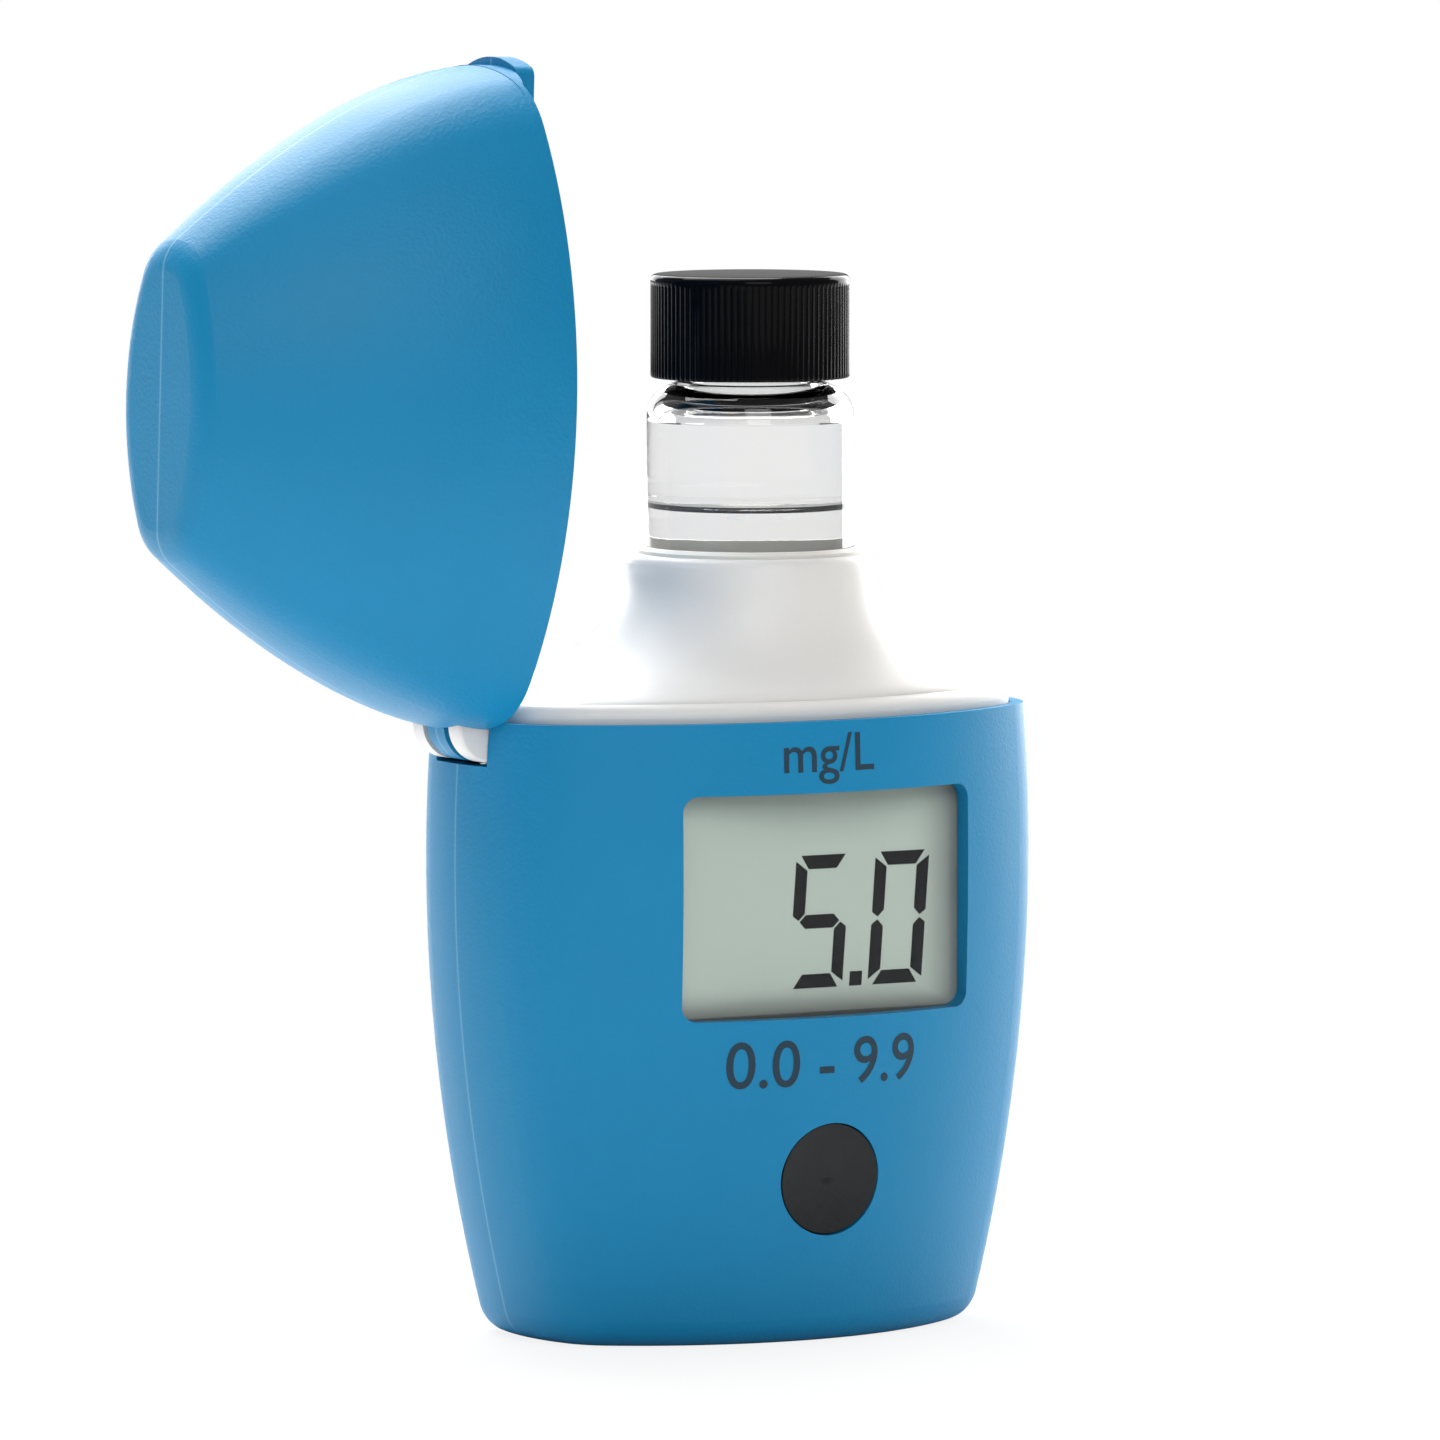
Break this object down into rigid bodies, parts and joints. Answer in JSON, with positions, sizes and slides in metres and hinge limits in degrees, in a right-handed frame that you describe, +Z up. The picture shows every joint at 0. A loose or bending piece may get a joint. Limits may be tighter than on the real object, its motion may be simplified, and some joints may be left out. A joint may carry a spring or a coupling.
{
  "type": "portable photometer",
  "caption": "Hand-held water-testing photometer: oval case with hinged lid, display, push button and a capped glass vial in a sprung well.",
  "frame": {"origin": "middle of the flat base, on the plane where the two case halves meet", "axes": "+Z up, -Y the front with display and button, +X away from the lid hinge"},
  "size_m": [0.0879, 0.037, 0.116],
  "materials": {
    "case_blue": "satin, fine grain",
    "neck_white": "satin",
    "seal_cream": "matte",
    "clear_window": "polished",
    "display_glass": "polished",
    "vial_glass": "polished",
    "liquid": "clear liquid",
    "cap_black": "gloss",
    "liner_white": "matte",
    "button_black": "matte",
    "inner_black": "matte",
    "inner_white": "matte",
    "board_green": "coated laminate",
    "chip_black": "moulded",
    "strip": "layered",
    "pin_steel": "drawn",
    "screw_steel": "zinc plated",
    "spring_steel": "drawn wire",
    "contact": "nickel plated",
    "cell": "film sleeve",
    "lamp": "clear lens",
    "filter": "coated"
  },
  "bodies": {
    "case": {"front_shell": "case_blue", "rear_shell": "case_blue", "neck_insert": "neck_white", "seal_ring": "seal_cream", "display_window": "clear_window", "display_glass": "display_glass", "display_frame": "inner_white", "contact_strip_upper": "strip", "contact_strip_lower": "strip", "circuit_board": "board_green", "controller_chip": "chip_black", "tact_switch": "chip_black", "vial_well": "inner_black", "seat_spring": "spring_steel", "led_holder": "inner_black", "led_emitter": "lamp", "detector_holder": "inner_black", "band_filter": "filter", "photodiode": "chip_black", "hinge_pin": "pin_steel", "shell_screw_upper": "screw_steel", "shell_screw_lower": "screw_steel", "battery": "cell", "battery_contact_lower": "contact", "battery_contact_upper": "contact"},
    "lid": {"lid": "case_blue"},
    "button": {"button": "button_black"},
    "seat": {"vial_seat": "inner_black"},
    "vial": {"sample_vial": "vial_glass", "sample_liquid": "liquid"},
    "cap_carrier": {"cap_liner": "liner_white"},
    "cap": {"vial_cap": "cap_black"},
    "door": {"battery_door": "case_blue"},
    "door_fastener": {"door_screw": "screw_steel"}
  },
  "joints": [
    {"name": "lid_hinge", "type": "hinge", "parent": "case", "child": "lid", "pos_m": [-0.02735, 0, 0.05615], "axis": [0, -1, 0], "range_deg": [-88.3, 0]},
    {"name": "seat_sink", "type": "slide", "parent": "case", "child": "seat", "axis": [0, 0, 1], "range_m": [-0.019, 0], "stiffness_N_per_m": 40, "springref_m": 0.01, "deforming": ["seat_spring"]},
    {"name": "vial_lift", "type": "slide", "parent": "seat", "child": "vial", "axis": [0, 0, 1], "range_m": [0, 0.06]},
    {"name": "cap_rise", "type": "slide", "parent": "vial", "child": "cap_carrier", "axis": [0, 0, 1], "range_m": [0, 0.008]},
    {"name": "cap_turn", "type": "hinge", "parent": "cap_carrier", "child": "cap", "pos_m": [0.0014, -0.0016, 0.09], "axis": [0, 0, 1], "range_deg": [0, 900]},
    {"name": "button_press", "type": "slide", "parent": "case", "child": "button", "axis": [0, 0.9964, 0.0849], "range_m": [0, 0.0005], "stiffness_N_per_m": 900, "springref_m": -0.0004},
    {"name": "door_off", "type": "slide", "parent": "case", "child": "door", "axis": [0, 1, 0], "range_m": [0, 0.015]},
    {"name": "door_screw_turn", "type": "hinge", "parent": "door", "child": "door_fastener", "pos_m": [-0.0078, 0.012, 0.02925], "axis": [0, 1, 0], "continuous": true}
  ],
  "couplings": [
    {"joint": "seat_sink", "follows": "lid_hinge", "m_per_rad": 0.012329},
    {"joint": "cap_rise", "follows": "cap_turn", "m_per_rad": 0.0005093}
  ]
}
